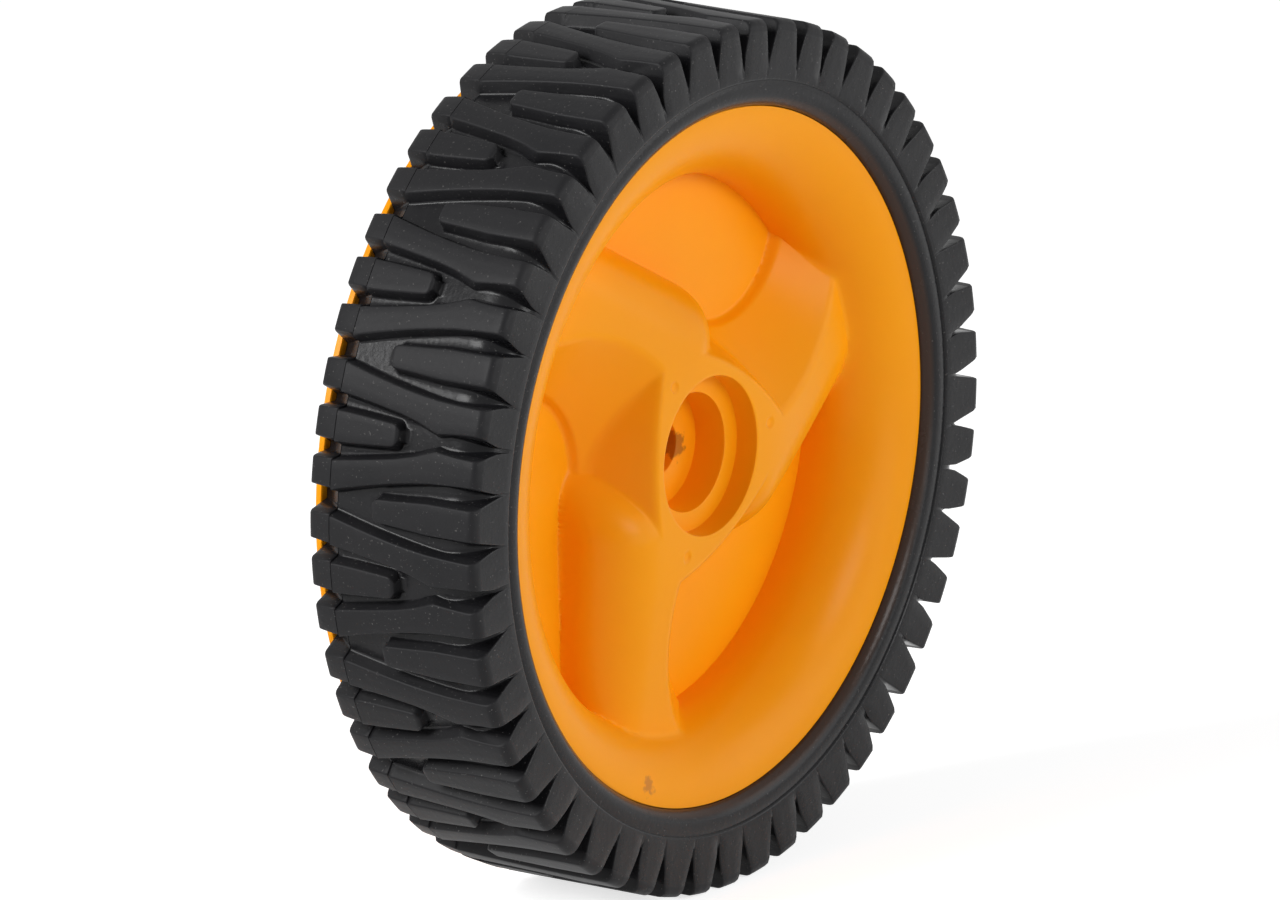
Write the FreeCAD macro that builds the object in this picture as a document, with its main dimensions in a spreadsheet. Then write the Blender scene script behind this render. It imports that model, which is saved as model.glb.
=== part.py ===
import FreeCAD, Part
import math
import os
import Sketcher

# Lawn mower wheel: a moulded plastic rim with a swirl of three arms, and a lugged rubber tyre on its barrel.
# The wheel's axle runs along Y. Sketches measure depth along Y from the front edge of the rim.
# All lengths are in millimetres and all angles in degrees.
SIZES = {
    # Tyre: section
    "tyre_height": 20.3,
    "tread_width": 46.0,
    "tyre_proud": 2.9,
    "sidewall_height": 6.1,
    "sidewall_recess": 0.3,
    "bead_height": 2.4,
    "groove_depth": 3.4,
    "groove_mouth_height": 8.7,
    "front_shoulder_depth": 9.4,
    "front_shoulder_knee_depth": 3.4,
    "front_shoulder_knee_drop": 2.6,
    "back_shoulder_drop": 4.2,
    # Tyre: lugs, measured on their tips; depths are from the tyre's front face
    "lug_repeats": 18,
    "repeat_turn": 6.9,
    "lug_draft": 11.0,
    "lug_root_height": 8.0,
    "lug_crown": 0.5,
    "lug_overrun": 4.0,
    "front_edge_chamfer": 1.8,
    "back_edge_drop": 0.7,
    "back_taper": 0.45,
    "parting_depth": 39.9,
    "long_lug_front_inner": 2.75,
    "long_lug_front_width": 6.25,
    "long_lug_kink_depth": 12.1,
    "long_lug_kink_inner": 2.0,
    "long_lug_kink_width": 7.4,
    "long_lug_waist_depth": 22.9,
    "long_lug_waist_inner": 5.2,
    "long_lug_waist_width": 5.7,
    "long_lug_parting_inner": 7.9,
    "long_lug_parting_width": 6.8,
    "stub_half_width": 3.6,
    "stub_taper_run": 15.4,
    "stub_shoulder_half_width": 2.8,
    "stub_tip_half_width": 1.9,
    "stub_tip_run": 1.6,
    "front_stub_length": 28.3,
    "back_stub_tip_depth": 22.9,
    # Rim: shell
    "rim_radius": 81.3,
    "rim_wall": 3.5,
    "lip_round": 17.9,
    "floor_depth": 20.5,
    "flange_height": 14.7,
    "flange_thickness": 2.0,
    # Rim: hub
    "hub_face_depth": 2.7,
    "hub_face_radius": 28.5,
    "hub_tube_radius": 20.0,
    "hub_back_depth": 44.5,
    "washer_seat_radius": 18.5,
    "washer_seat_depth": 8.5,
    "bolt_seat_radius": 13.8,
    "bolt_seat_depth": 16.8,
    "axle_bore_radius": 6.35,
    "hub_side_distance": 22.0,
    "hub_side_bend": 80.0,
    "hub_side_slope": 55.0,
    "pin_mark_circle_radius": 23.9,
    "pin_mark_turn": 7.0,
    "pin_mark_radius": 1.3,
    "pin_mark_depth": 0.4,
    # Rim: swirl of arms and dishes
    "arm_top_slope": 9.3,
    "arm_seat": 3.1,
    "arm_wall_distance": 33.3,
    "arm_wall_turn": 61.4,
    "arm_edge_round": 9.0,
    "arm_edge_start": -4.0,
    "arm_nose_run": 10.0,
    "arm_nose_slope": 52.8,
    "dish_circle_radius": 54.6,
    "dish_turn": 60.6,
    "dish_floor_radius": 23.2,
    "dish_ledge": 0.4,
    "dish_step_depth": 17.9,
    "dish_slope": 37.6,
    "dish_sweep_start": 264.8,
    "flank_sweep_start": 240.0,
    "flank_sweep": 140.0,
    # Rim: back
    "back_rib_count": 6,
    "back_rib_thickness": 3.0,
    "back_rib_depth": 38.0,
}

ARM_COUNT = 3
LIP_BANDS = 5
EDGE_BANDS = 4

doc = FreeCAD.newDocument("mower_wheel")
sheet = doc.addObject("Spreadsheet::Sheet", "Sizes")
for row, (name, number) in enumerate(SIZES.items(), start=1):
    sheet.set(f"A{row}", name)
    sheet.set(f"B{row}", str(number))
    sheet.setAlias(f"B{row}", name)
doc.recompute()


class Size:
    """A length or angle from the sheet: its number now, and the formula that keeps it tied to the sheet."""

    def __init__(self, number, formula):
        self.number = number
        self.formula = formula

    def __add__(self, other):
        other = plain(other)
        return Size(self.number + other.number, f"({self.formula} + {other.formula})")

    def __sub__(self, other):
        other = plain(other)
        return Size(self.number - other.number, f"({self.formula} - {other.formula})")

    def __mul__(self, other):
        other = plain(other)
        return Size(self.number * other.number, f"({self.formula} * {other.formula})")

    def __truediv__(self, other):
        other = plain(other)
        return Size(self.number / other.number, f"({self.formula} / {other.formula})")

    def __neg__(self):
        return Size(-self.number, f"(-1 * {self.formula})")


def plain(value):
    """A bare number as a Size, for use beside other sizes."""
    return value if isinstance(value, Size) else Size(float(value), f"{float(value)!r}")


def size(name):
    return Size(float(sheet.get(name)), f"Sizes.{name}")


def cosine(angle):
    return Size(math.cos(math.radians(angle.number)), f"cos({angle.formula})")


def sine(angle):
    return Size(math.sin(math.radians(angle.number)), f"sin({angle.formula})")


def tangent(angle):
    return Size(math.tan(math.radians(angle.number)), f"tan({angle.formula})")


def root(value):
    return Size(math.sqrt(value.number), f"sqrt({value.formula})")


def polar(radius, angle):
    return (radius * cosine(angle), radius * sine(angle))


def bind(target, field, value):
    target.setExpression(field, plain(value).formula)


def new_body(name):
    body = doc.addObject("PartDesign::Body", name)
    body.Label = name
    return body


def origin_part(body, role):
    return next(part for part in body.Origin.OriginFeatures if part.Role == role)


def new_sketch(body, name, plane):
    sketch = body.newObject("Sketcher::SketchObject", name)
    sketch.AttachmentSupport = [(origin_part(body, plane), "")]
    sketch.MapMode = "FlatFace"
    return sketch


def arc_between(start, end, radius, side):
    """The short arc from start to end. Side is 1 where its centre lies left of the run, -1 where right."""
    chord = end - start
    middle = (start + end) / 2
    rise = math.sqrt(radius ** 2 - (chord.Length / 2) ** 2)
    across = FreeCAD.Vector(-chord.y, chord.x, 0).normalize()
    centre = middle + across * rise * side
    top = centre + (middle - centre).normalize() * radius
    return Part.Arc(start, top, end)


def outline(sketch, corners, arcs=None):
    """A closed outline through corners. Arcs maps a corner's number to the bend and side of the run after it."""
    arcs = arcs or {}
    points = [FreeCAD.Vector(x.number, y.number, 0) for x, y in corners]
    count = len(points)
    ends = []
    for i in range(count):
        start, end = points[i], points[(i + 1) % count]
        if i in arcs:
            bend, side = arcs[i]
            edge = sketch.addGeometry(arc_between(start, end, bend.number, side), False)
            first = sketch.getPoint(edge, 1)
            ends.append((1, 2) if first.distanceToPoint(start) < first.distanceToPoint(end) else (2, 1))
        else:
            sketch.addGeometry(Part.LineSegment(start, end), False)
            ends.append((1, 2))
    for i in range(count):
        after = (i + 1) % count
        sketch.addConstraint(Sketcher.Constraint("Coincident", i, ends[i][1], after, ends[after][0]))
    for i, (x, y) in enumerate(corners):
        for kind, place in (("DistanceX", x), ("DistanceY", y)):
            rule = sketch.addConstraint(Sketcher.Constraint(kind, -1, 1, i, ends[i][0], place.number))
            bind(sketch, f"Constraints[{rule}]", place)
    for i, (bend, side) in arcs.items():
        rule = sketch.addConstraint(Sketcher.Constraint("Radius", i, bend.number))
        bind(sketch, f"Constraints[{rule}]", bend)


def revolve(body, name, corners, arcs=None, kind="PartDesign::Revolution"):
    """A turned form about the axle: corners are depth and radius."""
    sketch = new_sketch(body, f"{name}_profile", "YZ_Plane")
    outline(sketch, corners, arcs)
    turned = body.newObject(kind, name)
    turned.Profile = sketch
    turned.ReferenceAxis = (sketch, ["H_Axis"])
    turned.Angle = 360.0
    body.Tip = turned
    doc.recompute()
    return turned


def around_axle(body, name, features, count):
    pattern = body.newObject("PartDesign::PolarPattern", name)
    pattern.Originals = features
    pattern.Axis = (origin_part(body, "Y_Axis"), [""])
    pattern.Angle = 360.0
    bind(pattern, "Occurrences", count)
    body.Tip = pattern
    doc.recompute()
    return pattern


ZERO = plain(0)
HALF_TURN = 180
tread_width = size("tread_width")
rim_radius = size("rim_radius")

# Tyre: the moulded carcass that grips the rim's barrel, up to the floor of the grooves.
tyre = new_body("tyre")
tyre_front = -size("tyre_proud")
tyre_back = tyre_front + tread_width
tip_radius = rim_radius + size("tyre_height")
groove_floor = tip_radius - size("groove_depth")
sidewall = tyre_front + size("sidewall_recess")
sidewall_radius = rim_radius + size("sidewall_height")
parting = tyre_front + size("parting_depth")
revolve(tyre, "carcass", [
    (ZERO, rim_radius),
    (sidewall, rim_radius + size("bead_height")),
    (sidewall, sidewall_radius),
    (tyre_front, sidewall_radius),
    (tyre_front, rim_radius + size("groove_mouth_height")),
    (tyre_front + size("front_shoulder_knee_depth"), groove_floor - size("front_shoulder_knee_drop")),
    (tyre_front + size("front_shoulder_depth"), groove_floor),
    (parting, groove_floor),
    (tyre_back, groove_floor - size("back_shoulder_drop")),
    (tyre_back, rim_radius),
])

# Tyre: lugs. A repeat holds a stub from the front, a stub from the back and two long lugs that lean apart.
full_turn = plain(2 * HALF_TURN)
repeats = size("lug_repeats")
repeat_turn = full_turn / repeats
half_repeat = tip_radius * repeat_turn * (math.pi / HALF_TURN) / 2
overrun = size("lug_overrun")
lug_top = tip_radius + size("lug_crown")
lug_height = lug_top - rim_radius - size("lug_root_height")
front_end = tyre_front - overrun
back_end = tyre_back + overrun
back_taper = size("back_taper") * (back_end - parting) / (tyre_back - parting)


def add_lug(name, turn, corners):
    """A drafted lug, sketched on its own tangent plane just above the tips and padded down into the carcass."""
    sketch = new_sketch(tyre, f"{name}_outline", "XY_Plane")
    sketch.AttachmentOffset = FreeCAD.Placement(FreeCAD.Vector(), FreeCAD.Rotation(FreeCAD.Vector(0, 1, 0), 1))
    bind(sketch, "AttachmentOffset.Base.x", -lug_top * sine(turn))
    bind(sketch, "AttachmentOffset.Base.z", lug_top * cosine(turn))
    bind(sketch, "AttachmentOffset.Rotation.Angle", -turn)
    outline(sketch, corners)
    lug = tyre.newObject("PartDesign::Pad", name)
    lug.Profile = sketch
    lug.Reversed = True
    bind(lug, "Length", lug_height)
    bind(lug, "TaperAngle", size("lug_draft"))
    doc.recompute()
    return lug


front_stub_turn = size("repeat_turn")
back_stub_turn = front_stub_turn + repeat_turn / 2


def long_lug(name, side):
    """A lug across the whole tread, beside the back stub's middle line: side is 1 or -1."""
    middle = half_repeat / 2
    stations = []
    for place, depth in (("front", front_end), ("kink", tyre_front + size("long_lug_kink_depth")),
                         ("waist", tyre_front + size("long_lug_waist_depth")), ("parting", parting)):
        inner = size(f"long_lug_{place}_inner") - middle
        stations.append((inner, inner + size(f"long_lug_{place}_width"), depth))
    inner, outer, depth = stations[-1]
    stations.append((inner + back_taper, outer - back_taper, back_end))
    inner_side = [(inner * side, depth) for inner, outer, depth in stations]
    outer_side = [(outer * side, depth) for inner, outer, depth in stations]
    return add_lug(name, back_stub_turn - repeat_turn / 4 * side, outer_side + inner_side[::-1])


def stub(name, turn, tip, inwards, ends):
    """A short lug, the same on both sides of its middle line. Inwards is 1 where its tip points to the back."""
    right = [
        (size("stub_tip_half_width"), tip),
        (size("stub_shoulder_half_width"), tip - size("stub_tip_run") * inwards),
        (size("stub_half_width"), tip - size("stub_taper_run") * inwards),
    ] + ends
    return add_lug(name, turn, right + [(-x, y) for x, y in reversed(right)])


stub_half = size("stub_half_width")
lugs = [
    long_lug("leading_lug", 1),
    long_lug("trailing_lug", -1),
    stub("front_stub", front_stub_turn, tyre_front + size("front_stub_length"), 1, [(stub_half, front_end)]),
    stub("back_stub", back_stub_turn, tyre_front + size("back_stub_tip_depth"), -1,
         [(stub_half, parting), (stub_half - back_taper, back_end)]),
]
around_axle(tyre, "lug_ring", lugs, repeats)

# Tyre: the lugs are trimmed to the tread's round top, chamfered front edge and flat sides.
front_chamfer = size("front_edge_chamfer")
clear = tip_radius + overrun * 2
trim_root = rim_radius + size("sidewall_height")
past_front = front_end - overrun
past_back = back_end + overrun
revolve(tyre, "tread_trim", [
    (past_front, trim_root),
    (tyre_front, trim_root),
    (tyre_front, tip_radius - front_chamfer),
    (tyre_front + front_chamfer, tip_radius),
    (parting, tip_radius),
    (tyre_back, tip_radius - size("back_edge_drop")),
    (tyre_back, trim_root),
    (past_back, trim_root),
    (past_back, clear),
    (past_front, clear),
], None, "PartDesign::Groove")

# Rim: a shallow cone, the tops of hub and arms, from which the pockets between the arms are cut.
rim = new_body("rim")
lip_round = size("lip_round")
rim_wall = size("rim_wall")
floor_depth = size("floor_depth")
floor_radius = rim_radius - lip_round
hub_face_depth = size("hub_face_depth")
hub_face_radius = size("hub_face_radius")
swirl_radius = floor_radius + size("arm_seat")
swirl_base = floor_depth + rim_wall / 2
arm_end_depth = hub_face_depth + (swirl_radius - hub_face_radius) * tangent(size("arm_top_slope"))
revolve(rim, "arm_tops", [
    (hub_face_depth, ZERO),
    (hub_face_depth, hub_face_radius),
    (arm_end_depth, swirl_radius),
    (swirl_base, swirl_radius),
    (swirl_base, ZERO),
])

# Rim: one pocket. A straight arm wall on one side, a round dish on the other.
wall_turn = size("arm_wall_turn")
wall_distance = size("arm_wall_distance")
wall_foot = polar(wall_distance, wall_turn)
along_wall = polar(plain(1), wall_turn + HALF_TURN / 2)
dish_turn = size("dish_turn")
dish_centre = polar(size("dish_circle_radius"), dish_turn)
dish_radius = size("dish_floor_radius")


def on_wall(run):
    """A point on the arm's wall, run outwards along it from its nearest point to the axle."""
    return (wall_foot[0] + along_wall[0] * run, wall_foot[1] + along_wall[1] * run)


def on_dish(turn):
    x, y = polar(dish_radius, turn)
    return (dish_centre[0] + x, dish_centre[1] + y)


outside = rim_radius + lip_round
flank_start = size("flank_sweep_start")
dish_end = flank_start + size("flank_sweep")
pocket_sketch = new_sketch(rim, "pocket_outline", "XZ_Plane")
outline(pocket_sketch, [
    on_wall(root(outside * outside - wall_distance * wall_distance)),
    on_dish(size("dish_sweep_start")),
    on_dish(dish_end),
    polar(outside, dish_turn),
], {1: (dish_radius, 1)})
pocket = rim.newObject("PartDesign::Pocket", "pocket")
pocket.Profile = pocket_sketch
pocket.Type = "ThroughAll"
doc.recompute()
around_axle(rim, "pockets", [pocket], plain(ARM_COUNT))

# Rim: the dish's flank, a hollow cone that rises from a low step at the pocket floor to the arm's sharp crest.
step_depth = size("dish_step_depth")
flank_foot = dish_radius + size("dish_ledge")
flank_height = step_depth + hub_face_depth
flank = rim.newObject("PartDesign::SubtractiveCone", "dish_flank")
flank.AttachmentSupport = [(origin_part(rim, "XZ_Plane"), "")]
flank.MapMode = "FlatFace"
flank.AttachmentOffset = FreeCAD.Placement(FreeCAD.Vector(), FreeCAD.Rotation(FreeCAD.Vector(0, 0, 1), 1))
bind(flank, "AttachmentOffset.Base.x", dish_centre[0])
bind(flank, "AttachmentOffset.Base.y", dish_centre[1])
bind(flank, "AttachmentOffset.Base.z", -step_depth)
bind(flank, "AttachmentOffset.Rotation.Angle", flank_start)
bind(flank, "Radius1", flank_foot)
bind(flank, "Radius2", flank_foot + flank_height / tangent(size("dish_slope")))
bind(flank, "Height", flank_height)
bind(flank, "Angle", size("flank_sweep"))
doc.recompute()
around_axle(rim, "dish_flanks", [flank], plain(ARM_COUNT))

# Rim: the arm's other edge is rounded over, from its nose at the hub to its end in the bowl.
edge_round = size("arm_edge_round")
across_wall = FreeCAD.Rotation(FreeCAD.Vector(1, 0, 0), 1)


def edge_section(name, run):
    """The waste above the arm's rounded edge, on a plane across the arm's wall."""
    inner = wall_distance - edge_round
    reach = root(inner * inner + run * run)
    top = hub_face_depth + (reach - hub_face_radius) * tangent(size("arm_top_slope"))
    sketch = new_sketch(rim, name, "YZ_Plane")
    sketch.AttachmentOffset = FreeCAD.Placement(FreeCAD.Vector(), across_wall)
    bind(sketch, "AttachmentOffset.Rotation.Angle", -(wall_turn + HALF_TURN / 2))
    bind(sketch, "AttachmentOffset.Base.y", along_wall[1] * run)
    bind(sketch, "AttachmentOffset.Base.z", along_wall[0] * run)
    turns = [plain(HALF_TURN / 2 * i / EDGE_BANDS) for i in range(EDGE_BANDS + 1)]
    bend = [(top + edge_round - edge_round * cosine(turn), -inner - edge_round * sine(turn)) for turn in turns]
    outline(sketch, bend + [
        (top + edge_round, -wall_distance - rim_wall),
        (-rim_wall, -wall_distance - rim_wall),
        (-rim_wall, -inner),
    ])
    return sketch


edge_inner = wall_distance - edge_round
hub_meet = root(hub_face_radius * hub_face_radius - edge_inner * edge_inner)
round_over = rim.newObject("PartDesign::SubtractiveLoft", "arm_edge")
round_over.Profile = edge_section("edge_at_nose", size("arm_edge_start"))
round_over.Sections = [
    edge_section("edge_at_hub", hub_meet),
    edge_section("edge_midway", swirl_radius / 2),
    edge_section("edge_at_bowl", swirl_radius),
]
round_over.Ruled = True
doc.recompute()
around_axle(rim, "arm_edges", [round_over], plain(ARM_COUNT))

# Rim: the arm's nose slopes down beside the hub.
nose_run = size("arm_nose_run")
nose_fall = (swirl_base - hub_face_depth) / tangent(size("arm_nose_slope"))
nose_sketch = new_sketch(rim, "nose_profile", "YZ_Plane")
nose_sketch.AttachmentOffset = FreeCAD.Placement(FreeCAD.Vector(), across_wall)
bind(nose_sketch, "AttachmentOffset.Rotation.Angle", -wall_turn)
nose_start = polar(size("washer_seat_radius"), wall_turn)
bind(nose_sketch, "AttachmentOffset.Base.y", nose_start[1])
bind(nose_sketch, "AttachmentOffset.Base.z", nose_start[0])
outline(nose_sketch, [
    (hub_face_depth, nose_run),
    (swirl_base, nose_run - nose_fall),
    (-rim_wall, nose_run - nose_fall),
    (-rim_wall, nose_run),
])
nose = rim.newObject("PartDesign::Pocket", "arm_nose")
nose.Profile = nose_sketch
nose.Reversed = True
bind(nose, "Length", wall_distance + rim_wall - size("washer_seat_radius"))
doc.recompute()
around_axle(rim, "arm_noses", [nose], plain(ARM_COUNT))

# Rim: the three-sided hub, with gently bowed sides that slope down to the pocket floors.
hub_distance = size("hub_side_distance")
hub_bend = size("hub_side_bend")
hub_slope = size("hub_side_slope")


def hub_outline(name, depth):
    """The hub's section at a depth: three bowed sides that face the pockets."""
    spread = (depth - hub_face_depth) / tangent(hub_slope)
    distance = hub_distance + spread
    bend = hub_bend + spread
    back = bend - distance
    half_share = plain(HALF_TURN / ARM_COUNT)
    swing = back * sine(half_share)
    corner = root(bend * bend - swing * swing) - back * cosine(half_share)
    sketch = new_sketch(rim, name, "XZ_Plane")
    sketch.AttachmentOffset = FreeCAD.Placement()
    bind(sketch, "AttachmentOffset.Base.z", -depth)
    turns = [dish_turn + (2 * i - 1) * HALF_TURN / ARM_COUNT for i in range(ARM_COUNT)]
    outline(sketch, [polar(corner, turn) for turn in turns], {i: (bend, 1) for i in range(ARM_COUNT)})
    return sketch


hub = rim.newObject("PartDesign::AdditiveLoft", "hub")
hub.Profile = hub_outline("hub_top", hub_face_depth)
hub.Sections = [hub_outline("hub_foot", floor_depth + rim_wall / 2)]
hub.Ruled = True
rim.Tip = hub
doc.recompute()

# Rim: the hub's corners run out flush with the tops of the arms.
revolve(rim, "hub_trim", [
    (-rim_wall, hub_face_radius),
    (hub_face_depth, hub_face_radius),
    (arm_end_depth, swirl_radius),
    (-rim_wall, swirl_radius),
], None, "PartDesign::Groove")

# Rim: the shell. A rounded lip, the bowl's floor, the barrel and back flange that hold the tyre, and the hub tube.
barrel_inside = rim_radius - rim_wall
lip_inside = lip_round - rim_wall
lip_meet = lip_round - root(lip_inside * lip_inside - rim_wall * rim_wall)
lip_back = lip_inside * sine(plain(HALF_TURN / 4))
floor_back = floor_depth + rim_wall
flange_radius = rim_radius + size("flange_height")
flange_back = tyre_back + size("flange_thickness")
hub_tube = size("hub_tube_radius")
hub_back = size("hub_back_depth")
lip_turns = [plain(HALF_TURN / 2 * i / LIP_BANDS) for i in range(LIP_BANDS + 1)]
revolve(rim, "shell", [
    (floor_depth, ZERO),
    (floor_depth, floor_radius),
] + [(lip_round - lip_round * sine(turn), rim_radius - lip_round * cosine(turn)) for turn in lip_turns] + [
    (tyre_back, rim_radius),
    (tyre_back, flange_radius),
    (flange_back, flange_radius),
    (flange_back, barrel_inside),
    (lip_meet, barrel_inside),
    (lip_round - lip_back, rim_radius - lip_back),
    (lip_round, floor_radius + rim_wall),
    (floor_back, floor_radius + rim_wall),
    (floor_back, hub_tube),
    (hub_back, hub_tube),
    (hub_back, ZERO),
])

# Rim: ribs behind the floor, from the hub tube to the bowl.
rib_sketch = new_sketch(rim, "rib_outline", "XZ_Plane")
rib_sketch.AttachmentOffset = FreeCAD.Placement()
bind(rib_sketch, "AttachmentOffset.Base.z", -floor_depth - rim_wall / 2)
rib_half = size("back_rib_thickness") / 2
rib_start = hub_tube - rim_wall
rib_end = barrel_inside + rim_wall / 2
outline(rib_sketch, [(rib_half, rib_start), (rib_half, rib_end), (-rib_half, rib_end), (-rib_half, rib_start)])
rib = rim.newObject("PartDesign::Pad", "back_rib")
rib.Profile = rib_sketch
rib.Reversed = True
bind(rib, "Length", size("back_rib_depth") - floor_depth - rim_wall / 2)
doc.recompute()
around_axle(rim, "back_ribs", [rib], size("back_rib_count"))

# Rim: the stepped bore for the axle bolt and its washer.
past_hub = hub_back + rim_wall
washer_seat = size("washer_seat_radius")
bolt_seat = size("bolt_seat_radius")
bore = size("axle_bore_radius")
revolve(rim, "axle_bore", [
    (-rim_wall, ZERO),
    (-rim_wall, washer_seat),
    (size("washer_seat_depth"), washer_seat),
    (size("washer_seat_depth"), bolt_seat),
    (size("bolt_seat_depth"), bolt_seat),
    (size("bolt_seat_depth"), bore),
    (past_hub, bore),
    (past_hub, ZERO),
], None, "PartDesign::Groove")

# Rim: small round marks that the mould's ejector pins leave on the hub's face.
mark_sketch = new_sketch(rim, "pin_mark_outline", "XZ_Plane")
mark_centre = polar(size("pin_mark_circle_radius"), size("pin_mark_turn"))
mark_place = FreeCAD.Vector(mark_centre[0].number, mark_centre[1].number, 0)
mark_sketch.addGeometry(Part.Circle(mark_place, FreeCAD.Vector(0, 0, 1), size("pin_mark_radius").number), False)
for rule, value in ((Sketcher.Constraint("Radius", 0, size("pin_mark_radius").number), size("pin_mark_radius")),
                    (Sketcher.Constraint("DistanceX", -1, 1, 0, 3, mark_place.x), mark_centre[0]),
                    (Sketcher.Constraint("DistanceY", -1, 1, 0, 3, mark_place.y), mark_centre[1])):
    number = mark_sketch.addConstraint(rule)
    bind(mark_sketch, f"Constraints[{number}]", value)
mark = rim.newObject("PartDesign::Pocket", "pin_mark")
mark.Profile = mark_sketch
bind(mark, "Length", hub_face_depth + size("pin_mark_depth"))
doc.recompute()
around_axle(rim, "pin_marks", [mark], plain(ARM_COUNT))

# The wheel's middle lies on the axle, halfway across the tread.
for body in (tyre, rim):
    bind(body, "Placement.Base.y", size("tyre_proud") - tread_width / 2)
doc.recompute()

for item in doc.Objects:
    if "Invalid" in item.State or "Error" in item.State:
        raise RuntimeError(f"{item.Name} failed: {item.State}")
for body in (tyre, rim):
    if body.Shape.isNull() or not body.Shape.isValid() or len(body.Shape.Solids) != 1:
        raise RuntimeError(f"{body.Label} is not one sound solid")
os.makedirs("parts", exist_ok=True)
for body in (tyre, rim):
    body.Shape.exportStep(f"parts/{body.Label}.step")
    print(body.Label, "volume", round(body.Shape.Volume), "cubic millimetres")
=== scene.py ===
import math

import bpy
import numpy as np
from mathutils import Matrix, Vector


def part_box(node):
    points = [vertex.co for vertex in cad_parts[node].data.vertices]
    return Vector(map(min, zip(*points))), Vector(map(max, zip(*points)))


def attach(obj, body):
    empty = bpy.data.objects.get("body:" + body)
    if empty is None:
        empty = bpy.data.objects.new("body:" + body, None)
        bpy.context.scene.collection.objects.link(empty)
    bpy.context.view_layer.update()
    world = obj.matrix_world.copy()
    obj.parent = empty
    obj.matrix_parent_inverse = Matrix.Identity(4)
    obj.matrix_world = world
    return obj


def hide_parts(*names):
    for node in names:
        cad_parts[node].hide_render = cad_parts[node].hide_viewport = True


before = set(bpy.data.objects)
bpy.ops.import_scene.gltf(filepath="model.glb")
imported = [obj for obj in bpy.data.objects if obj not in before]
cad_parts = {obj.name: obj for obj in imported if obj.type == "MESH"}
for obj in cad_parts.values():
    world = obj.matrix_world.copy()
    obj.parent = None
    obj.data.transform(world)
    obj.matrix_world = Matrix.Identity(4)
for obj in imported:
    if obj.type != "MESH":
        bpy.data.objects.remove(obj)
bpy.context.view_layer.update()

# The rim is one warm yellow-orange moulding. A deep bowl with a rounded lip holds a swirl of three arms with
# round dishes between them, which run into a bowed three-sided hub with a stepped bore for the axle bolt.
# Behind the floor are the barrel that carries the tyre, a back flange and the hub tube.
mm = 0.001
rim_low, rim_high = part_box("rim")
tyre_low, tyre_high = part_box("tyre")
front_plane = rim_low.y / mm
rim_depth = (rim_high.y - rim_low.y) / mm
tyre_back = (tyre_high.y - rim_low.y) / mm
flange_radius = rim_high.x / mm
rim_edge = 81.3
barrel_gap = 0.05
barrel = rim_edge - barrel_gap
lip_round = 17.9
bowl_radius = rim_edge - lip_round
floor_depth = 20.5
wall = 3.5
inside = rim_edge - wall
floor_back = floor_depth + wall
bowl_back = bowl_radius + wall
lip_back = lip_round - (lip_round - wall) / math.sqrt(2)
hub_face = 2.7
hub_face_radius = 28.5
hub_back = 44.5
hub_tube = 20.0
washer_seat = 18.5
washer_seat_depth = 8.5
bolt_seat = 13.8
bolt_seat_depth = 16.8
axle_bore = 6.35
arm_count = 3
arm_slope = math.tan(math.radians(9.3))
arm_slope_start = 6.0
wall_turn = math.radians(61.4)
wall_distance = 35.5
wall_round = 15.2
wall_drop = 14.0
wall_foot_slope = 4
nose_run = 10.4
nose_start = 6.0
nose_slope = math.tan(math.radians(47))
dish_turn = math.radians(60.6)
dish_circle = 54.6
dish_floor = 22.7
dish_step_width = 1.8
dish_step_depth = 17.9
dish_overrun = 0.8
dish_slope = math.tan(math.radians(37.6))
hub_side = 21.6
hub_bend = 80.0
hub_slope = math.tan(math.radians(63))
hub_edge = 2.0
hub_foot = 1.5
hub_foot_depth = 4
hub_foot_least = 0.01
pin_circle = 23.9
pin_turn = math.radians(7)
pin_radius = 1.2
pin_depth = 0.5
pin_edge = 0.35
crest = 1.0
crease = 1.5


def soft_min(a, b, width):
    """The smaller of two heights, blended over a width where they meet."""
    share = np.clip(0.5 + 0.5 * (b - a) / width, 0, 1)
    return b * (1 - share) + a * share - width * share * (1 - share)


def soft_max(a, b, width):
    """The larger of two heights, blended in the same way."""
    return -soft_min(-a, -b, width)


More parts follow.
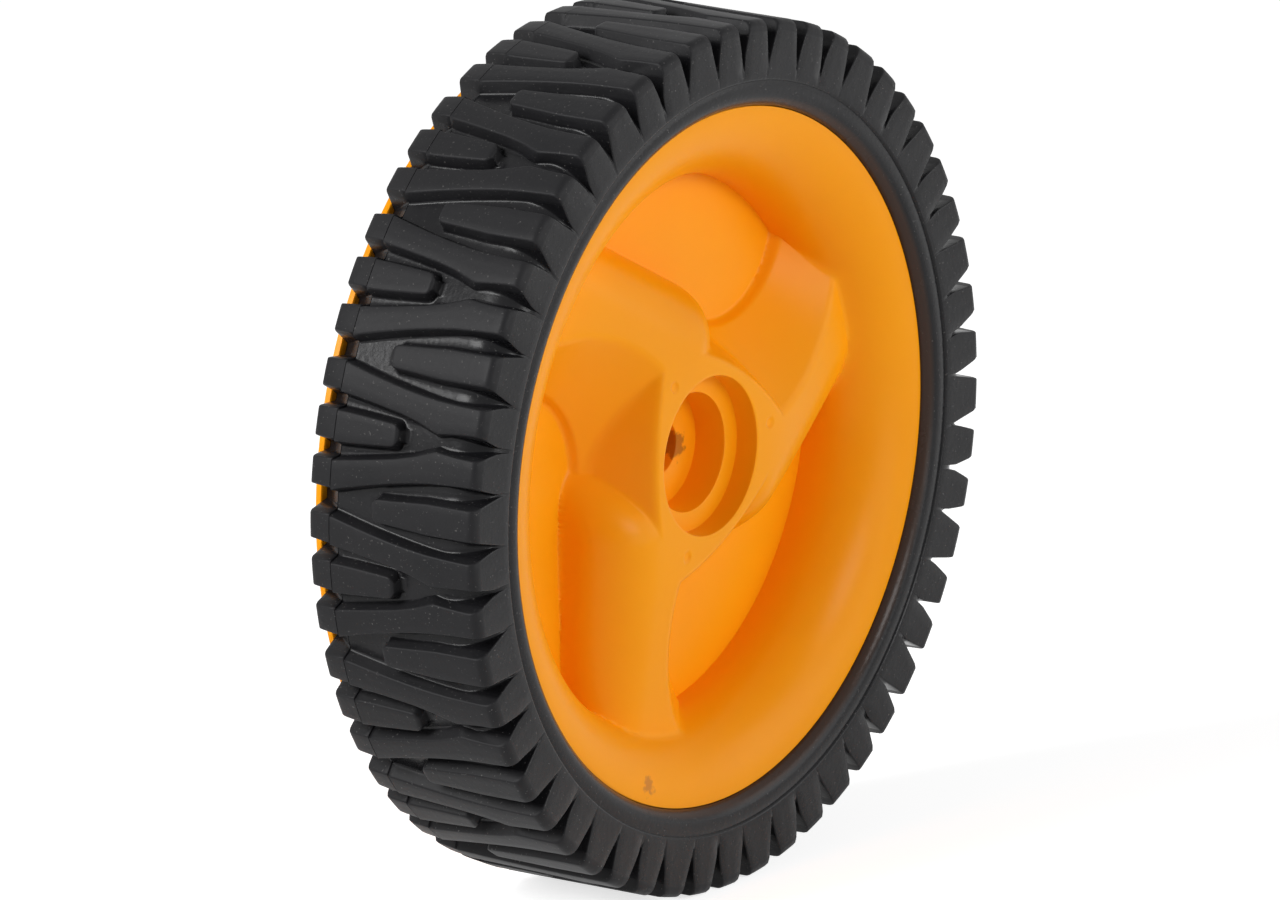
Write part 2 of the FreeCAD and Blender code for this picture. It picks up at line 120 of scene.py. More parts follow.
def relief(radius, angle):
    """Depth of the rim's front surface behind its edge, in millimetres."""
    x = radius * np.cos(angle)
    z = radius * np.sin(angle)
    level = np.zeros_like(radius)
    top = hub_face + soft_max(radius - hub_face_radius, level, arm_slope_start) * arm_slope
    arms = top
    sides = np.full_like(radius, -np.inf)
    dents = np.zeros_like(radius)
    for i in range(arm_count):
        turn = 2 * math.pi * i / arm_count
        normal = (math.cos(wall_turn + turn), math.sin(wall_turn + turn))
        along = (-normal[1], normal[0])
        out = x * normal[0] + z * normal[1]
        run = x * along[0] + z * along[1]
        across = np.maximum(out - wall_distance + wall_round, 0) / wall_round
        wall_foot = np.maximum(across - 1, 0) * wall_round * wall_foot_slope
        rounding = wall_drop * (1 - np.sqrt(1 - np.minimum(across, 1) ** 2)) + wall_foot
        nose = soft_max(nose_run - run, level, nose_start) * nose_slope
        dish_direction = (math.cos(dish_turn + turn), math.sin(dish_turn + turn))
        dx = x - dish_circle * dish_direction[0]
        dz = z - dish_circle * dish_direction[1]
        ahead = np.maximum(dx * along[0] + dz * along[1], 0)
        reach = np.hypot(dx - ahead * along[0], dz - ahead * along[1])
        flank = dish_step_depth - (reach - dish_floor - dish_step_width) * dish_slope
        step = np.clip((dish_floor + dish_step_width - reach) / dish_step_width, 0, 1)
        step = step * step * (3 - 2 * step)
        dish = np.minimum(flank, dish_step_depth) + step * (floor_depth + dish_overrun - dish_step_depth)
        arms = np.maximum(arms, np.minimum(soft_max(top, dish, crest), top + rounding + nose))
        bend_centre = hub_bend - hub_side
        bow = np.hypot(x + bend_centre * dish_direction[0], z + bend_centre * dish_direction[1]) - hub_bend
        sides = np.maximum(sides, hub_face + bow * hub_slope)
        pin_x = pin_circle * math.cos(pin_turn + turn)
        pin_z = pin_circle * math.sin(pin_turn + turn)
        dents += pin_depth * np.clip((pin_radius - np.hypot(x - pin_x, z - pin_z)) / pin_edge + 0.5, 0, 1)
    hub_side_face = soft_max(top, sides, hub_edge)
    below_top = np.minimum(hub_side_face, arms) - top
    blend = hub_foot * np.clip(below_top / hub_foot_depth, hub_foot_least, 1)
    swirl = soft_min(hub_side_face, arms, blend)
    fall = np.clip(rim_edge - radius, 0, lip_round)
    lip = lip_round - np.sqrt(lip_round ** 2 - fall ** 2)
    bowl = np.where(radius > bowl_radius, lip, floor_depth)
    return soft_min(swirl, bowl, crease) + dents


def ring(angles, radius, depth):
    """One row of points round the axle. Radius and depth are numbers or one value for each angle."""
    across = np.full(angles.shape, front_plane + depth)
    return np.stack((radius * np.cos(angles), across, radius * np.sin(angles)), axis=-1)


def around(radius, depth, corner):
    """Points of the rim's section at one corner, each given by its step outward and back from there."""
    return [(radius + outward, depth + back) for outward, back in corner]


def closed_mesh(name, rows, crisp_from):
    """A closed turned skin: rows of points round the axle, the last row joined to the first."""
    rows = np.array(rows)
    count, columns = rows.shape[0], rows.shape[1]
    index = np.arange(count * columns).reshape(count, columns)
    after = np.roll(index, -1, axis=0)
    quads = np.stack((index, after, np.roll(after, -1, axis=1), np.roll(index, -1, axis=1)), axis=-1)
    mesh = bpy.data.meshes.new(name)
    mesh.from_pydata((rows.reshape(-1, 3) * mm).tolist(), [], quads.reshape(-1, 4).tolist())
    mesh.polygons.foreach_set("use_smooth", [True] * len(mesh.polygons))
    mesh.set_sharp_from_angle(angle=math.radians(crisp_from))
    return mesh


rim_columns = 600
swirl_rows = 96
lip_rows = 18
lip_first_turn = 2
lip_last_turn = 88
mouth_width = 0.5
floor_margin = 0.4
rim_crisp_from = 40
front_edge = ((-0.1, 0.06), (0, 0.5))
barrel_corner = ((0, -0.4), (0.5, 0.05))
flange_shoulder = ((-0.5, 0.05), (-0.1, 0.3), (0, 0.7))
outer_edge = ((0, -0.5), (-0.5, 0))
inner_edge = ((0.5, 0), (0, -0.5))
lip_hollow = ((0, 5.0), (-1.2, 4.2), (-3.8, 5.6))
bowl_bend = ((1.2, 12.6), (0, lip_round))
floor_corner = ((0, -0.6), (-0.6, 0), (-24, 0))
tube_foot = ((1.2, 0), (0.3, 0.4), (0, 1.3))
bore_mouth = ((0, 9), (0, 0.8), (0.15, 0.25), (0.6, 0))
seat_corner = ((-0.6, 0), (-0.1, -0.15), (0, -0.7))
seat_mouth = ((0, 0.5), (0.15, 0.12), (mouth_width, 0))
rim_angles = np.linspace(0, 2 * math.pi, rim_columns, endpoint=False)
swirl_radii = np.linspace(washer_seat + mouth_width, bowl_radius - floor_margin, swirl_rows)
lip_turns = np.radians(np.linspace(lip_first_turn, lip_last_turn, lip_rows))
lip_radii = rim_edge - lip_round * np.cos(lip_turns)
rim_rows = []
for radius in [*swirl_radii, bowl_radius, *lip_radii]:
    rim_rows.append(ring(rim_angles, radius, relief(np.full(rim_columns, radius), rim_angles)))
# The section goes on from the lip round the back and up the bore, and meets the first row at the hub's face.
rim_profile = [
    *around(barrel, 0, front_edge),
    (barrel, tyre_back / 2),
    *around(barrel, tyre_back, barrel_corner),
    *around(flange_radius, tyre_back, flange_shoulder),
    *around(flange_radius, rim_depth, outer_edge),
    *around(inside, rim_depth, inner_edge),
    (inside, floor_back),
    *around(inside, 0, lip_hollow),
    (bowl_radius + lip_back, lip_back),
    *around(bowl_back, 0, bowl_bend),
    *around(bowl_back, floor_back, floor_corner),
    *around(hub_tube, floor_back, tube_foot),
    *around(hub_tube, hub_back, outer_edge),
    *around(axle_bore, hub_back, inner_edge),
    *around(axle_bore, bolt_seat_depth, bore_mouth),
    *around(bolt_seat, bolt_seat_depth, seat_corner),
    *around(bolt_seat, washer_seat_depth, seat_mouth),
    *around(washer_seat, washer_seat_depth, seat_corner),
    *around(washer_seat, hub_face, seat_mouth[:-1]),
]
rim_rows += [ring(rim_angles, radius, depth) for radius, depth in rim_profile]
rim = bpy.data.objects.new("rim_visual", closed_mesh("rim_visual", rim_rows, rim_crisp_from))
bpy.context.collection.objects.link(rim)

plastic_deep = (0.93, 0.325, 0.002, 1)
plastic_pale = (0.97, 0.352, 0.003, 1)
scuff_brown = (0.42, 0.14, 0.03, 1)
bore_brown = (0.16, 0.035, 0.006, 1)
scuff_place = (-27.9, front_plane + 0.6, -71.8)
scuff_core = 0.5
scuff_reach = 4.6
bore_place = (axle_bore, front_plane + bolt_seat_depth + 1.2, -0.8)
bore_core = 2.0
bore_reach = 5.5
plastic = bpy.data.materials.new("rim_plastic")
plastic.use_nodes = True
nodes, links = plastic.node_tree.nodes, plastic.node_tree.links
shader = nodes["Principled BSDF"]
shader.inputs["Roughness"].default_value = 0.34
shader.inputs["Specular IOR Level"].default_value = 0.12
shader.inputs["Subsurface Weight"].default_value = 0.08
shader.inputs["Subsurface Radius"].default_value = (0.004, 0.0016, 0.0004)
place = nodes.new("ShaderNodeTexCoord")
cloud = nodes.new("ShaderNodeTexNoise")
cloud.inputs["Scale"].default_value = 22
cloud.inputs["Detail"].default_value = 3
tone = nodes.new("ShaderNodeValToRGB")
tone.color_ramp.elements[0].position = 0.3
tone.color_ramp.elements[0].color = plastic_deep
tone.color_ramp.elements[1].position = 0.7
tone.color_ramp.elements[1].color = plastic_pale
links.new(place.outputs["Object"], cloud.inputs["Vector"])
links.new(cloud.outputs["Fac"], tone.inputs["Fac"])

# The moulded grain is about a millimetre across and very shallow, and only breaks up the gloss.
grain = nodes.new("ShaderNodeTexNoise")
grain.inputs["Scale"].default_value = 900
grain.inputs["Detail"].default_value = 2
bump = nodes.new("ShaderNodeBump")
bump.inputs["Strength"].default_value = 0.05
bump.inputs["Distance"].default_value = 0.0004
links.new(place.outputs["Object"], grain.inputs["Vector"])
links.new(grain.outputs["Fac"], bump.inputs["Height"])
links.new(bump.outputs["Normal"], shader.inputs["Normal"])

# Two ragged stains: a scuff on the lower lip and brown dirt at the mouth of the axle bore.
blotch = nodes.new("ShaderNodeTexNoise")
blotch.inputs["Scale"].default_value = 650
blotch.inputs["Detail"].default_value = 3
links.new(place.outputs["Object"], blotch.inputs["Vector"])
colour = tone.outputs["Color"]
for spot, core, clear, stain in ((scuff_place, scuff_core, scuff_reach, scuff_brown),
                                 (bore_place, bore_core, bore_reach, bore_brown)):
    away = nodes.new("ShaderNodeVectorMath")
    away.operation = "DISTANCE"
    away.inputs[1].default_value = Vector(spot) * mm
    near = nodes.new("ShaderNodeMapRange")
    near.inputs["From Min"].default_value = core * mm
    near.inputs["From Max"].default_value = clear * mm
    near.inputs["To Min"].default_value = 0.66
    near.inputs["To Max"].default_value = 0
    patchy = nodes.new("ShaderNodeMath")
    patchy.operation = "ADD"
    edge = nodes.new("ShaderNodeMapRange")
    edge.inputs["From Min"].default_value = 0.85
    edge.inputs["From Max"].default_value = 1.05
    edge.inputs["To Max"].default_value = 0.6
    stained = nodes.new("ShaderNodeMix")
    stained.data_type = "RGBA"
    stained.inputs["B"].default_value = stain
    links.new(place.outputs["Object"], away.inputs[0])
    links.new(away.outputs["Value"], near.inputs["Value"])
    links.new(near.outputs["Result"], patchy.inputs[0])
    links.new(blotch.outputs["Fac"], patchy.inputs[1])
    links.new(patchy.outputs["Value"], edge.inputs["Value"])
    links.new(edge.outputs["Result"], stained.inputs["Factor"])
    links.new(colour, stained.inputs["A"])
    colour = stained.outputs["Result"]
links.new(colour, shader.inputs["Base Color"])
rim.data.materials.append(plastic)
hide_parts("rim")
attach(rim, "root")

# Six ribs stiffen the rim behind its floor. They are plates of the same moulding, which run from the hub
# tube to the barrel and reach a little into both and into the floor. Their back edges are softened.
rib_count = 6
rib_half = 1.5
rib_depth = 38.0
rib_overlap = 1
rib_softening = 0.4
rib_crown = 0.75
rib_front = floor_back - rib_overlap
rib_section = (
    (-1, rib_front),
    (-1, rib_depth - rib_softening),
    (-rib_crown, rib_depth),
    (rib_crown, rib_depth),
    (1, rib_depth - rib_softening),
    (1, rib_front),
)
rib_corners = len(rib_section)
rib_points, rib_faces = [], []
for i in range(rib_count):
    turn = 2 * math.pi * (i + 0.5) / rib_count
    along = Vector((math.cos(turn), 0, math.sin(turn)))
    across = Vector((-math.sin(turn), 0, math.cos(turn)))
    first = len(rib_points)
    for reach in (hub_tube - rib_overlap, inside + rib_overlap):
        for side, depth in rib_section:
            corner = along * reach + across * (side * rib_half) + Vector((0, front_plane + depth, 0))
            rib_points.append(tuple(corner * mm))
    for j in range(rib_corners):
        after = (j + 1) % rib_corners
        rib_faces.append((first + j, first + after, first + rib_corners + after, first + rib_corners + j))
    rib_faces.append(tuple(first + j for j in reversed(range(rib_corners))))
    rib_faces.append(tuple(first + rib_corners + j for j in range(rib_corners)))
ribs = bpy.data.meshes.new("rim_ribs")
ribs.from_pydata(rib_points, [], rib_faces)
ribs.materials.append(plastic)
back_ribs = bpy.data.objects.new("rim_ribs_visual", ribs)
bpy.context.collection.objects.link(back_ribs)
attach(back_ribs, "root")

# The tyre is moulded charcoal rubber, gripped between the rim's edge and its back flange. Eighteen repeats of
# four drafted lugs run round it: a stub from the front, one from the back and two long lugs that lean apart.
# The mould's halves met near the back: a thin line crosses each lug, and the parts behind sit to one side.
tyre_front = (tyre_low.y - rim_low.y) / mm
box_margin = 0.01
tip_radius = tyre_high.x / mm - box_margin
repeats = 18
repeat_angle = 2 * math.pi / repeats
half_repeat = repeat_angle / 2
first_back_stub = math.radians(6.93)
long_lug_angle = repeat_angle / 4
long_lug_place = tip_radius * long_lug_angle
draft = math.tan(math.radians(11))
groove_depth = 3.35
groove_floor = tip_radius - groove_depth
front_round = 10.0
front_round_lead = 0.1
round_start = tyre_front + front_round - front_round_lead
tip_round = 2.1
parting = 37.0
parting_width = 0.03
parting_slope = 0.12
parting_dip = 0.25
mould_shift = 0.43
front_tip = 25.4
back_tip = 20.0
stub_corner = 1.5
lug_bevel = 0.4
root_fillet = 0.5
lug_root = 91.0
inner_depths = (0, 4, 8.2, 9.2, 10.2, 12.5, 15, 20, 25, 30, parting, tyre_back)
inner_places = (2.75, 2.5, 2.08, 2.1, 2.4, 3.2, 4.0, 5.2, 6.05, 6.85, 7.9, 8.4)
outer_depths = (0, 5, 10, 15, 20, 25, 30, parting, tyre_back)
outer_places = (9.0, 9.2, 9.5, 10.1, 10.9, 11.9, 13.0, 14.7, 14.2)
front_stub_depths = (10, 20, front_tip)
front_stub_widths = (3.6, 2.9, 2.55)
back_stub_depths = (back_tip, 25, 32, parting, tyre_back)
back_stub_widths = (2.5, 2.9, 3.4, 3.6, 3.1)
tip_steps = (-0.7, -0.2, 0.13, 0.52, 0.85, 1.35)
tip_heights = (1, 0.955, 0.79, 0.22, 0.06, 0)
tip_end = tip_steps[-1]


def long_inner(depth):
    """Distance of a long lug's inner edge from the back stub's middle line, at the tips."""
    return float(np.interp(depth, inner_depths, inner_places))


def long_outer(depth):
    """Distance of a long lug's outer edge from the same line."""
    return float(np.interp(depth, outer_depths, outer_places))


def rounded_tip(width, past):
    """A stub's half width near its tip, where its corner is round. Past counts from the corner's start."""
    past = min(max(past, 0), stub_corner)
    return width - stub_corner + math.sqrt(stub_corner ** 2 - past ** 2)


def front_stub(depth):
    """Half width of the stub that comes from the front."""
    width = np.interp(depth, front_stub_depths, front_stub_widths)
    return rounded_tip(width, depth - front_tip + stub_corner)


def back_stub(depth):
    """Half width of the stub that comes from the back."""
    width = np.interp(depth, back_stub_depths, back_stub_widths)
    return rounded_tip(width, back_tip + stub_corner - depth)


def tip_height(past):
    """How much of a stub's height is left at a distance past its tip."""
    return float(np.interp(past, tip_steps, tip_heights))


least_rise = 1e-6
corner_share = 0.4
bevel_middle = 0.25
fillet_middle = 0.3


def lug_side(width, top, base, height, fillet):
    """One side of a lug, from top to foot: distances from its middle line and heights over the groove."""
    rise = max(height * (top - base), least_rise)
    bevel = min(lug_bevel, rise * corner_share)
    foot = min(fillet, rise * corner_share)
    at_top = width + (tip_radius - max(base + rise, lug_root)) * draft
    at_foot = width + (tip_radius - max(base, lug_root)) * draft
    return [
        (at_top - lug_bevel, rise),
        (at_top - lug_bevel * bevel_middle, rise - bevel * bevel_middle),
        (at_top + bevel * draft, rise - bevel),
        (at_foot - foot * draft, foot),
        (at_foot + fillet * fillet_middle, foot * fillet_middle),
        (at_foot + fillet, 0),
    ]


plain_height = 1
inner_gap_least = 0.8
outer_gap_least = 1.6
inner_fillet_share = 0.45
outer_fillet_share = 0.2
ease_length = 3
crown_shares = (0.35, 0.65)
least_turn = 0.0003


def half_row(top_depth, top, base_depth, base):
    """Half a repeat at one row, from the back stub's middle to the front stub's: angle, radius, depth."""
    depth = (top_depth + base_depth) / 2 if top - base < plain_height else top_depth
    spread = (tip_radius - max(base, lug_root)) * draft
    inner_foot = long_lug_angle - (long_lug_place - long_inner(base_depth) + spread) / base
    inner_foot = max(inner_foot, inner_gap_least / base)
    inner_fillet = min(root_fillet, inner_foot * base * inner_fillet_share)
    inner_gap = inner_foot - inner_fillet / base
    outer_foot = long_lug_angle + (long_outer(base_depth) - long_lug_place + spread) / base
    outer_foot = min(outer_foot, half_repeat - outer_gap_least / base)
    outer_fillet = min(root_fillet, (half_repeat - outer_foot) * base * outer_fillet_share)
    outer_gap = half_repeat - outer_foot - outer_fillet / base
    points = []

    def add(angle, rise):
        share = min(max(rise / max(top - base, least_rise), 0), 1)
        points.append((angle, base + rise, base_depth + share * (top_depth - base_depth)))

    def stub(width, height, fillet, gap, past):
        # Past the stub's tip its points spread out evenly over the groove.
        side = lug_side(width, top, base, height, fillet)
        spots = [(0, side[0][1]), (side[0][0] / 2, side[0][1])] + side
        ease = min(max(past / ease_length, 0), 1)
        last = len(spots) - 1
        far = gap * base * len(spots) / (len(spots) + 1)
        return [((1 - ease) * spot[0] + ease * (far * i / last), spot[1]) for i, spot in enumerate(spots)]

    back_spots = stub(back_stub(depth), tip_height(back_tip - depth), root_fillet, inner_gap,
                      back_tip - tip_end - depth)
    for offset, rise in back_spots:
        add(offset / (base + rise), rise)
    add((back_spots[-1][0] / base + inner_gap) / 2, 0)
    inner_side = lug_side(long_lug_place - long_inner(depth), top, base, 1, inner_fillet)
    outer_side = lug_side(long_outer(depth) - long_lug_place, top, base, 1, outer_fillet)
    for offset, rise in reversed(inner_side):
        add(long_lug_angle - offset / (base + rise), rise)
    for share in crown_shares:
        offset = -inner_side[0][0] + share * (inner_side[0][0] + outer_side[0][0])
        add(long_lug_angle + offset / top, inner_side[0][1])
    for offset, rise in outer_side:
        add(long_lug_angle + offset / (base + rise), rise)
    front_spots = stub(front_stub(depth), tip_height(depth - front_tip), outer_fillet, outer_gap,
                       depth - front_tip - tip_end)
    add(half_repeat - (front_spots[-1][0] / base + outer_gap) / 2, 0)
    for offset, rise in reversed(front_spots):
        add(half_repeat - offset / (base + rise), rise)
    angles = [point[0] for point in points]
    middle = len(points) // 2
    for i in range(1, middle):
        angles[i] = max(angles[i], angles[i - 1] + least_turn)
    for i in range(len(points) - 2, middle - 1, -1):
        angles[i] = min(angles[i], angles[i + 1] - least_turn)
    return [(angle, *point[1:]) for angle, point in zip(angles, points)]


# The section starts inside the bead: each row has a depth and radius for the lugs' tops and for the groove.
side_sink = 0.3
side_face = tyre_front + side_sink
bead_profile = (
    (1.2, 0), (-0.2, 0.08), (-1.1, 0.6), (-1.9, 1.5),
    (side_face + 0.12, 2.6), (side_face, 3.6), (side_face, 5.7),
    (side_face + 0.16, 6.0), (side_face + 0.16, 6.15),
    (tyre_front + 0.08, 6.4), (tyre_front, 6.8),
)
tyre_rows = [(depth, rim_edge + outward, depth, rim_edge + outward) for depth, outward in bead_profile]

# At the front shoulder the lugs stand up over the carcass, which turns a quarter circle under them.
lug_front_radii = (90.0, 92.2, 94.6, 97.0, 98.7, tip_radius - tip_round)
lug_tip_turns = (30, 60, 78, 90)
shoulder_turns = (80, 72, 63, 54, 45, 36, 27, 18, 9, 0)
lug_fronts = [(tyre_front, radius) for radius in lug_front_radii]
for degrees in lug_tip_turns:
    turn = math.radians(degrees)
    depth = tyre_front + tip_round * (1 - math.cos(turn))
    lug_fronts.append((depth, tip_radius - tip_round * (1 - math.sin(turn))))
for degrees, (depth, radius) in zip(shoulder_turns, lug_fronts):
    turn = math.radians(degrees)
    shoulder_depth = round_start - front_round * math.sin(turn)
    tyre_rows.append((depth, radius, shoulder_depth, groove_floor - front_round * (1 - math.cos(turn))))

# The tread up to the parting line, with more rows at the stubs' tips.
front_tread = ((1, 7.7), (3, 8.4), (5.2, 9.2), (7, 10), (8.2, 10.6), (9.2, 11.2), (10.2, 11.8),
               (11.6, 12.8), (13.2, 14), (15, 15.4), (17, 17.1))
plain_depths = [18, 21.3, 22.2, 23.2, 23.9, 24.3, 28, 30, 32, 34, 35.6, parting - parting_slope]
tip_depths = [back_tip - step for step in tip_steps] + [front_tip + step for step in tip_steps]
for top_depth, base_depth in front_tread:
    tyre_rows.append((top_depth, tip_radius, base_depth, groove_floor))
for depth in sorted(tip_depths + plain_depths):
    tyre_rows.append((depth, tip_radius, depth, groove_floor))
dip_top = tip_radius - parting_dip
dip_base = groove_floor - parting_dip
tyre_rows.append((parting - parting_width, dip_top, parting - parting_width, dip_base))

# Behind the parting line the rows belong to the mould's other half, which sits to one side.
back_tread = ((parting + parting_slope, 0.06), (38.6, 0.2), (40.2, 0.4), (41.6, 0.6),
              (tyre_back - 0.75, 0.75), (tyre_back - 0.22, 1.0), (tyre_back, 1.55))
back_fall = 4.25
back_top = 96.2
back_base = 93.6
shift_start = len(tyre_rows)
tyre_rows.append((parting + parting_width, dip_top, parting + parting_width, dip_base))
for depth, drop in back_tread:
    share = (depth - parting) / (tyre_back - parting)
    tyre_rows.append((depth, tip_radius - drop, depth, groove_floor - back_fall * share))
tyre_rows.append((tyre_back, back_top, tyre_back, back_base))
shift_end = len(tyre_rows)

# The back face and the seat on the rim's barrel close the section.
seat_profile = ((tyre_back, 92), (tyre_back, 86), (tyre_back, rim_edge + 0.6), (tyre_back - 0.6, rim_edge),
                (tyre_back * 0.6, rim_edge), (tyre_back * 0.3, rim_edge))
tyre_rows += [(depth, radius, depth, radius) for depth, radius in seat_profile]
tyre_skin = []
for number, row in enumerate(tyre_rows):
    half = half_row(*row)
    whole = [(-angle, radius, depth) for angle, radius, depth in half[-2:0:-1]] + half
    shift = mould_shift if shift_start <= number < shift_end else 0
    spun = []
    for i in range(repeats):
        middle = first_back_stub + repeat_angle * i
        for angle, radius, depth in whole:
            turn = middle + angle - shift / radius
            spun.append((radius * math.cos(turn), front_plane + depth, radius * math.sin(turn)))
    tyre_skin.append(spun)
tyre_crisp_from = 50
tyre = bpy.data.objects.new("tyre_visual", closed_mesh("tyre_visual", tyre_skin, tyre_crisp_from))
bpy.context.collection.objects.link(tyre)

rubber_dark = (0.0065, 0.0065, 0.0075, 1)
rubber_light = (0.0115, 0.0112, 0.0122, 1)
dust_grey = (0.16, 0.155, 0.15, 1)
# Painted reflection: the brown that stands in for the orange rim mirrored in the bead.
painted_rim_reflection_brown = (0.05, 0.027, 0.017, 1)
groove_gloss_full = groove_floor + 0.1
groove_gloss_end = groove_floor + 0.9
painted_reflection_full = rim_edge + 1.4
painted_reflection_end = rim_edge + 2.4
rubber = bpy.data.materials.new("tyre_rubber")
rubber.use_nodes = True
nodes, links = rubber.node_tree.nodes, rubber.node_tree.links
shader = nodes["Principled BSDF"]
shader.inputs["Specular IOR Level"].default_value = 0.15
place = nodes.new("ShaderNodeTexCoord")
cloud = nodes.new("ShaderNodeTexNoise")
cloud.inputs["Scale"].default_value = 60
cloud.inputs["Detail"].default_value = 5
tone = nodes.new("ShaderNodeValToRGB")
tone.color_ramp.elements[0].position = 0.3
tone.color_ramp.elements[0].color = rubber_dark
tone.color_ramp.elements[1].position = 0.75
tone.color_ramp.elements[1].color = rubber_light
links.new(place.outputs["Object"], cloud.inputs["Vector"])
links.new(cloud.outputs["Fac"], tone.inputs["Fac"])

# The rubber is dull on the lugs and glossier in the grooves, told apart by the distance from the axle.
dull = nodes.new("ShaderNodeMapRange")
dull.inputs["To Min"].default_value = 0.42
dull.inputs["To Max"].default_value = 0.6
axis = nodes.new("ShaderNodeVectorMath")
axis.operation = "MULTIPLY"
axis.inputs[1].default_value = (1, 0, 1)
reach = nodes.new("ShaderNodeVectorMath")
reach.operation = "LENGTH"
valley = nodes.new("ShaderNodeMapRange")
valley.inputs["From Min"].default_value = groove_gloss_full * mm
valley.inputs["From Max"].default_value = groove_gloss_end * mm
valley.inputs["To Min"].default_value = 0.26
valley.inputs["To Max"].default_value = 0
gloss = nodes.new("ShaderNodeMath")
gloss.operation = "SUBTRACT"
links.new(place.outputs["Object"], axis.inputs[0])
links.new(axis.outputs["Vector"], reach.inputs[0])
links.new(reach.outputs["Value"], valley.inputs["Value"])
links.new(cloud.outputs["Fac"], dull.inputs["Value"])
links.new(dull.outputs["Result"], gloss.inputs[0])
links.new(valley.outputs["Result"], gloss.inputs[1])
links.new(gloss.outputs["Value"], shader.inputs["Roughness"])

# Fine specks of pale dust lie on it. The bead by the rim is painted a warm brown, a painted reflection of the
# orange rim in the rubber.
specks = nodes.new("ShaderNodeTexNoise")
specks.inputs["Scale"].default_value = 1600
specks.inputs["Detail"].default_value = 1
dust = nodes.new("ShaderNodeMapRange")
dust.inputs["From Min"].default_value = 0.69
dust.inputs["From Max"].default_value = 0.8
dust.inputs["To Max"].default_value = 0.5
dusty = nodes.new("ShaderNodeMix")
dusty.data_type = "RGBA"
dusty.inputs["B"].default_value = dust_grey
# Painted reflection: close to the rim's edge the rubber is tinted brown, as if it mirrored the orange rim.
painted_reflection_mask = nodes.new("ShaderNodeMapRange")
painted_reflection_mask.inputs["From Min"].default_value = painted_reflection_full * mm
painted_reflection_mask.inputs["From Max"].default_value = painted_reflection_end * mm
painted_reflection_mask.inputs["To Min"].default_value = 0.7
painted_reflection_mask.inputs["To Max"].default_value = 0
painted_reflection_mix = nodes.new("ShaderNodeMix")
painted_reflection_mix.data_type = "RGBA"
painted_reflection_mix.inputs["B"].default_value = painted_rim_reflection_brown
links.new(place.outputs["Object"], specks.inputs["Vector"])
links.new(specks.outputs["Fac"], dust.inputs["Value"])
links.new(dust.outputs["Result"], dusty.inputs["Factor"])
links.new(tone.outputs["Color"], dusty.inputs["A"])
links.new(reach.outputs["Value"], painted_reflection_mask.inputs["Value"])
links.new(painted_reflection_mask.outputs["Result"], painted_reflection_mix.inputs["Factor"])
links.new(dusty.outputs["Result"], painted_reflection_mix.inputs["A"])
links.new(painted_reflection_mix.outputs["Result"], shader.inputs["Base Color"])
grain = nodes.new("ShaderNodeTexNoise")
grain.inputs["Scale"].default_value = 700
grain.inputs["Detail"].default_value = 4
bump = nodes.new("ShaderNodeBump")
bump.inputs["Strength"].default_value = 0.15
bump.inputs["Distance"].default_value = 0.0004
links.new(place.outputs["Object"], grain.inputs["Vector"])
links.new(grain.outputs["Fac"], bump.inputs["Height"])
links.new(bump.outputs["Normal"], shader.inputs["Normal"])
tyre.data.materials.append(rubber)
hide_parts("tyre")
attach(tyre, "root")

# The studio: a wide white floor under soft light from above and in front, as in a catalogue picture. The
# wheel stands on the floor, and the white behind it comes from the floor's glow and from the world.
floor_half = 12
floor_height = -tip_radius * mm
floor_corners = [
    (-floor_half, -floor_half, floor_height),
    (floor_half, -floor_half, floor_height),
    (floor_half, floor_half, floor_height),
    (-floor_half, floor_half, floor_height),
]
floor_mesh = bpy.data.meshes.new("floor")
floor_mesh.from_pydata(floor_corners, [], [(0, 1, 2, 3)])
floor = bpy.data.objects.new("floor", floor_mesh)
bpy.context.collection.objects.link(floor)
white = bpy.data.materials.new("floor_white")
white.use_nodes = True
nodes, links = white.node_tree.nodes, white.node_tree.links
shader = nodes["Principled BSDF"]
shader.inputs["Base Color"].default_value = (0.85, 0.85, 0.85, 1)
shader.inputs["Roughness"].default_value = 0.9
shader.inputs["Specular IOR Level"].default_value = 0
shader.inputs["Emission Color"].default_value = (1, 1, 1, 1)


def background_rays(tree):
    """A socket that is 1 for rays that show the background: straight, in a reflection or through glass."""
    path = tree.nodes.new("ShaderNodeLightPath")
    mirrored = tree.nodes.new("ShaderNodeMath")
    mirrored.operation = "MAXIMUM"
    shown = tree.nodes.new("ShaderNodeMath")
    shown.operation = "MAXIMUM"
    tree.links.new(path.outputs["Is Glossy Ray"], mirrored.inputs[0])
    tree.links.new(path.outputs["Is Transmission Ray"], mirrored.inputs[1])
    tree.links.new(path.outputs["Is Camera Ray"], shown.inputs[0])
    tree.links.new(mirrored.outputs["Value"], shown.inputs[1])
    return shown.outputs["Value"]


glow = nodes.new("ShaderNodeMath")
glow.operation = "MULTIPLY"
glow.inputs[1].default_value = 0.72
links.new(background_rays(white.node_tree), glow.inputs[0])
links.new(glow.outputs["Value"], shader.inputs["Emission Strength"])
floor_mesh.materials.append(white)


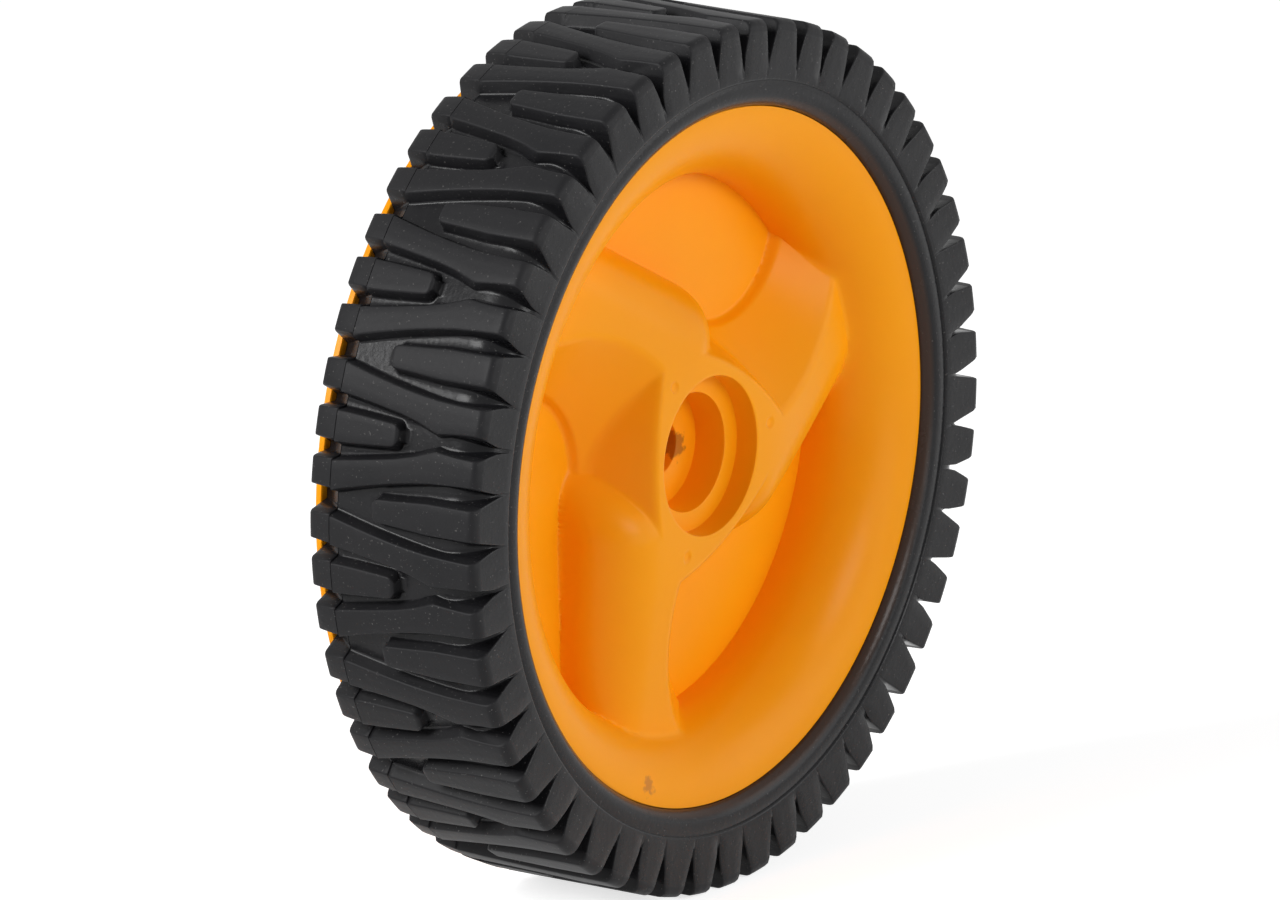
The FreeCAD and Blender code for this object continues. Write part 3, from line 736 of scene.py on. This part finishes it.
def soft_light(name, place, width, height, power):
    """A rectangular lamp that faces the wheel's middle, in metres and watts."""
    lamp = bpy.data.lights.new(name, "AREA")
    lamp.shape = "RECTANGLE"
    lamp.size = width
    lamp.size_y = height
    lamp.energy = power
    light = bpy.data.objects.new(name, lamp)
    light.location = place
    light.rotation_euler = (-Vector(place)).to_track_quat("-Z", "Y").to_euler()
    bpy.context.collection.objects.link(light)


soft_light("key", place=(-0.12, -1.45, 0.6), width=0.5, height=0.5, power=7.7)
soft_light("fill", place=(0.9, -1.2, 0.4), width=0.9, height=0.9, power=5.5)
soft_light("side", place=(-1.3, 0.5, 0.75), width=0.7, height=0.7, power=24)
soft_light("bounce", place=(0.05, -1.3, -0.05), width=0.8, height=0.08, power=1.5)

world = bpy.data.worlds.new("studio_white")
bpy.context.scene.world = world
world.use_nodes = True
nodes, links = world.node_tree.nodes, world.node_tree.links
nodes["Background"].inputs["Color"].default_value = (1, 1, 1, 1)
nodes["Background"].inputs["Strength"].default_value = 0.11
seen = nodes.new("ShaderNodeBackground")
seen.inputs["Color"].default_value = (1, 1, 1, 1)
mix = nodes.new("ShaderNodeMixShader")
links.new(background_rays(world.node_tree), mix.inputs["Fac"])
links.new(nodes["Background"].outputs["Background"], mix.inputs[1])
links.new(seen.outputs["Background"], mix.inputs[2])
links.new(mix.outputs["Shader"], nodes["World Output"].inputs["Surface"])

# The camera stands far off to the wheel's left with a long lens, a little above the axle. Its shift puts the
# wheel where the picture's frame has it.
photo_width = 1280
photo_height = 900
focal_pixels = 19138
centre_x = 642.06
centre_y = 443.90
azimuth = math.radians(-54.94)
elevation = math.radians(14.42)
camera_distance = 4.388
aim_depth = 22
level_reach = math.cos(elevation)
to_camera = Vector((level_reach * math.sin(azimuth), -level_reach * math.cos(azimuth), math.sin(elevation)))
lens = bpy.data.cameras.new("camera")
lens.sensor_width = 36
lens.lens = focal_pixels / photo_width * lens.sensor_width
lens.shift_x = (photo_width / 2 - centre_x) / photo_width
lens.shift_y = (centre_y - photo_height / 2) / photo_width
lens.clip_end = 50
camera = bpy.data.objects.new("camera", lens)
camera.location = Vector((0, (front_plane + aim_depth) * mm, 0)) + to_camera * camera_distance
camera.rotation_euler = (-to_camera).to_track_quat("-Z", "Y").to_euler()
bpy.context.collection.objects.link(camera)
bpy.context.scene.camera = camera
bpy.context.scene.view_settings.view_transform = "Standard"
